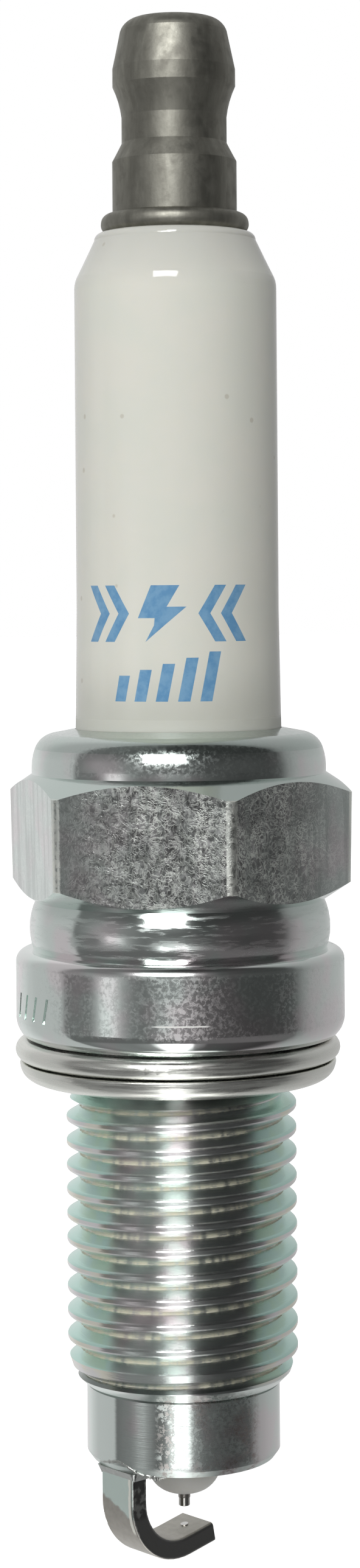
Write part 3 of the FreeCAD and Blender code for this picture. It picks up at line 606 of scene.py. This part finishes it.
def simple_metal(name, colour, roughness, scale, depth):
    """Metal with a clouded colour and a fine grain."""
    material, build, shader = new_material(name, 1.0, roughness, colour)
    grain = build.noise(scale, 4.0)
    darker = tuple(c * 0.7 for c in colour)
    build.put(shader.inputs["Base Color"], build.mix(grain, darker, colour))
    build.put(shader.inputs["Roughness"],
              build.smooth(grain, 0.3, 0.7, roughness * 0.8, min(roughness * 1.3, 1.0)))
    build.put(shader.inputs["Normal"], build.bump(grain, depth))
    return material


def simple_mineral(name, colour, roughness, scale, depth):
    """Matt filling with a grainy colour."""
    material, build, shader = new_material(name, 0.0, roughness, colour)
    grain = build.noise(scale, 5.0)
    darker = tuple(c * 0.6 for c in colour)
    build.put(shader.inputs["Base Color"], build.mix(grain, darker, colour))
    build.put(shader.inputs["Normal"], build.bump(grain, depth))
    return material


def dress_nodes():
    """Gives every CAD node its material."""
    looks = {
        "terminal_stud": nickel_terminal(),
        "insulator": glazed_alumina(),
        "metal_shell": plated_steel(),
        "seat_gasket": gasket_steel(),
        "ground_electrode": strap_nickel(),
        "ground_weld": simple_metal("weld_metal", (0.6, 0.62, 0.6), 0.2, 3.0, 0.03),
        "platinum_pad": simple_metal("platinum", (0.85, 0.84, 0.82), 0.2, 20.0, 0.002),
        "iridium_tip": simple_metal("iridium", (0.62, 0.61, 0.58), 0.16, 10.0, 0.002),
        "tip_weld": simple_metal("tip_weld_metal", (0.45, 0.43, 0.4), 0.3, 10.0, 0.006),
        "center_electrode": simple_metal("nickel_alloy", (0.5, 0.48, 0.44), 0.35, 4.0, 0.004),
        "copper_core": simple_metal("copper", (0.8, 0.45, 0.3), 0.3, 4.0, 0.004),
        "talc_seal": simple_mineral("talc", (0.78, 0.76, 0.7), 0.9, 6.0, 0.02),
        "resistor": simple_mineral("resistor_glass", (0.1, 0.1, 0.1), 0.6, 8.0, 0.01),
    }
    glass = simple_mineral("conductive_glass", (0.24, 0.17, 0.12), 0.5, 8.0, 0.01)
    bare = simple_metal("bare_steel", (0.5, 0.5, 0.5), 0.3, 5.0, 0.004)
    for name in ("upper_glass_seal", "lower_glass_seal"):
        looks[name] = glass
    for name in ("upper_packing_ring", "lower_packing_ring", "seat_packing"):
        looks[name] = bare
    for name, material in looks.items():
        mesh = nodes[name].data
        mesh.materials.clear()
        mesh.materials.append(material)


# ---------------------------------------------------------------- weld flash

# Along the weld: degrees round from the front, radius, height and half thickness in millimetres.
FLASH_LINE = [
    (-62, 4.91, -21.42, 0.03), (-55, 4.95, -21.38, 0.06), (-47, 4.98, -21.24, 0.09),
    (-41, 4.98, -21.16, 0.06), (-36, 4.97, -21.26, 0.07), (-31, 4.92, -21.48, 0.09),
    (-27, 4.80, -21.66, 0.07), (-22, 4.68, -21.72, 0.12), (-17, 4.60, -21.74, 0.17),
    (-13, 4.58, -21.70, 0.12), (-9, 4.62, -21.66, 0.04),
]
FLASH_STEPS = 6
FLASH_RING = 10


def smooth_path(points, steps):
    """Catmull-Rom points through the given ones; each is a Vector of any size."""
    path = []
    for i in range(len(points) - 1):
        a, b, c, d = (points[max(0, min(len(points) - 1, i + k))] for k in (-1, 0, 1, 2))
        for j in range(steps):
            t = j / steps
            path.append(0.5 * (2 * b + (c - a) * t + (2 * a - 5 * b + 4 * c - d) * t * t
                               + (3 * b - a - 3 * c + d) * t ** 3))
    return path + [points[-1]]


def add_weld_flash(material):
    """Uneven ridge of metal squeezed out where the strap is welded to the shell's end."""
    rng = random.Random(7)
    path = smooth_path([Vector(place) for place in FLASH_LINE], FLASH_STEPS)
    spots = []
    for degrees, radius, height, _ in path:
        angle = math.radians(degrees)
        spots.append(Vector((radius * math.sin(angle), -radius * math.cos(angle), height)) * MM)
    bm = bmesh.new()
    rings = []
    for i, (spot, place) in enumerate(zip(spots, path)):
        along = (spots[min(i + 1, len(spots) - 1)] - spots[max(i - 1, 0)]).normalized()
        outward = Vector((spot.x, spot.y, 0)).normalized()
        up = along.cross(outward).normalized()
        thick = place[3] * MM * rng.uniform(0.75, 1.25)
        ring = []
        for k in range(FLASH_RING):
            angle = 2 * math.pi * k / FLASH_RING
            reach = thick * rng.uniform(0.85, 1.15)
            ring.append(bm.verts.new(spot + outward * math.cos(angle) * reach
                                     + up * math.sin(angle) * reach))
        rings.append(ring)
    for ring, following in zip(rings, rings[1:]):
        for k in range(FLASH_RING):
            after = (k + 1) % FLASH_RING
            bm.faces.new((ring[k], ring[after], following[after], following[k]))
    bm.faces.new(rings[0])
    bm.faces.new(rings[-1])
    finish_piece("weld_flash", bm, material, smooth=True)


def finish_piece(name, bm, material, smooth=False):
    """Makes the object of a new piece that rides on the plug."""
    bmesh.ops.recalc_face_normals(bm, faces=bm.faces[:])
    mesh = bpy.data.meshes.new(name)
    bm.to_mesh(mesh)
    bm.free()
    for polygon in mesh.polygons:
        polygon.use_smooth = smooth
    mesh.materials.append(material)
    piece = bpy.data.objects.new(name, mesh)
    bpy.context.scene.collection.objects.link(piece)
    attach(piece, "plug")
    return piece


# ---------------------------------------------------------------- printed mark

INK_PROUD = 0.014
INK_SUNK = 0.03
INK_STEP = 0.25
INK_MERGE = 0.001
STROKE = 0.62
ARROW_WIDTH = 1.5
BOLT_WIDTH = 2.5
ARROWS_BASE = 20.4
ARROWS_HEIGHT = 2.85
BARS_BASE = 17.4
BAR_SPACING = 1.13
BAR_SLANT = 0.2


def chevron(back, side):
    """An arrowhead from its back edge on, pointing right if side is 1 and left if it is -1."""
    point = back + side * ARROW_WIDTH
    inner = side * STROKE
    middle = ARROWS_BASE + ARROWS_HEIGHT / 2
    top = ARROWS_BASE + ARROWS_HEIGHT
    return [(back, top), (back + inner, top), (point, middle), (back + inner, ARROWS_BASE),
            (back, ARROWS_BASE), (point - inner, middle)]


def bolt(left):
    """A lightning bolt as tall as the arrowheads."""
    outline = [(0.28, 1), (0.86, 1), (0.6, 0.62), (1, 0.62), (0.16, 0), (0.42, 0.42), (0, 0.42)]
    return [(left + BOLT_WIDTH * a, ARROWS_BASE + ARROWS_HEIGHT * b) for a, b in outline]


def slanted_bar(left, height):
    """A bar that leans right."""
    shift = height * BAR_SLANT
    top = BARS_BASE + height
    return [(left, BARS_BASE), (left + STROKE, BARS_BASE), (left + STROKE + shift, top),
            (left + shift, top)]


def ink_material():
    """Thin blue print under the glaze, a little worn."""
    material, build, shader = new_material("blue_ink", 0.0, 0.12, (0.15, 0.36, 0.58))
    cloud = build.noise(1.6, 4.0, 0.6)
    build.put(shader.inputs["Base Color"],
              build.mix(build.smooth(cloud, 0.35, 0.65), (0.14, 0.33, 0.56), (0.21, 0.41, 0.62)))
    build.put(shader.inputs["Roughness"], build.smooth(cloud, 0.3, 0.7, 0.08, 0.2))
    build.put(shader.inputs["Normal"], build.bump(cloud, 0.003))
    return material


def in_fixed_order(bm):
    """The same mesh with its points and faces in an order that every run repeats."""
    bmesh.ops.recalc_face_normals(bm, faces=bm.faces[:])
    spots = sorted(tuple(vert.co) for vert in bm.verts)
    number = {spot: i for i, spot in enumerate(spots)}
    rings = []
    for face in bm.faces:
        ring = [number[tuple(vert.co)] for vert in face.verts]
        first = ring.index(min(ring))
        rings.append(ring[first:] + ring[:first])
    bm.free()
    ordered = bmesh.new()
    points = [ordered.verts.new(spot) for spot in spots]
    for ring in sorted(rings):
        ordered.faces.new([points[i] for i in ring])
    return ordered


def print_mark(name, outlines, material):
    """Wraps flat outlines round the glaze; their points are (round from the front, height) in mm."""
    bm = bmesh.new()
    for outline in outlines:
        bm.faces.new([bm.verts.new((across, 0, height)) for across, height in outline])
    low = min(v.co.x for v in bm.verts)
    high = max(v.co.x for v in bm.verts)
    for step in range(1, math.ceil((high - low) / INK_STEP)):
        everything = bm.verts[:] + bm.edges[:] + bm.faces[:]
        bmesh.ops.bisect_plane(bm, geom=everything, plane_co=(low + step * INK_STEP, 0, 0),
                               plane_no=(1, 0, 0))
    bmesh.ops.remove_doubles(bm, verts=bm.verts[:], dist=INK_MERGE)
    front = bm.faces[:]
    depth = INK_PROUD + INK_SUNK
    extruded = bmesh.ops.extrude_face_region(bm, geom=front)
    for item in extruded["geom"]:
        if isinstance(item, bmesh.types.BMVert):
            item.co.y += depth
    insulator = nodes["insulator"]
    for vert in bm.verts:
        height = vert.co.z * MM
        _, place, _, _ = insulator.ray_cast(Vector((0, -0.1, height)), Vector((0, 1, 0)))
        skin = -place.y
        angle = vert.co.x * MM / skin
        radius = skin + (vert.co.y - INK_SUNK) * MM
        vert.co = Vector((radius * math.sin(angle), -radius * math.cos(angle), height))
    bmesh.ops.triangulate(bm, faces=bm.faces[:])
    piece = finish_piece(name, in_fixed_order(bm), material)
    leave_to_camera(piece)


def add_marks():
    """Two rows of plain shapes: arrowheads beside a bolt, and slanted bars of growing height."""
    ink = ink_material()
    upper = [chevron(-5.25, 1), chevron(-4.05, 1), bolt(-2.05), chevron(3.75, -1),
             chevron(2.55, -1)]
    lower = [slanted_bar(-3.4 + BAR_SPACING * i, 1.3 + 0.3 * i) for i in range(5)]
    print_mark("printed_arrows", upper, ink)
    print_mark("printed_bars", lower, ink)


add_camera()
add_world()
add_light("key", bearing=-12, level=31, distance=0.6, width=0.28, height=0.22, watts=2.6)
add_floor()
dress_nodes()
add_weld_flash(simple_metal("flash_metal", (0.62, 0.64, 0.61), 0.32, 4.0, 0.03))
add_marks()
bpy.context.scene.view_settings.view_transform = "Standard"
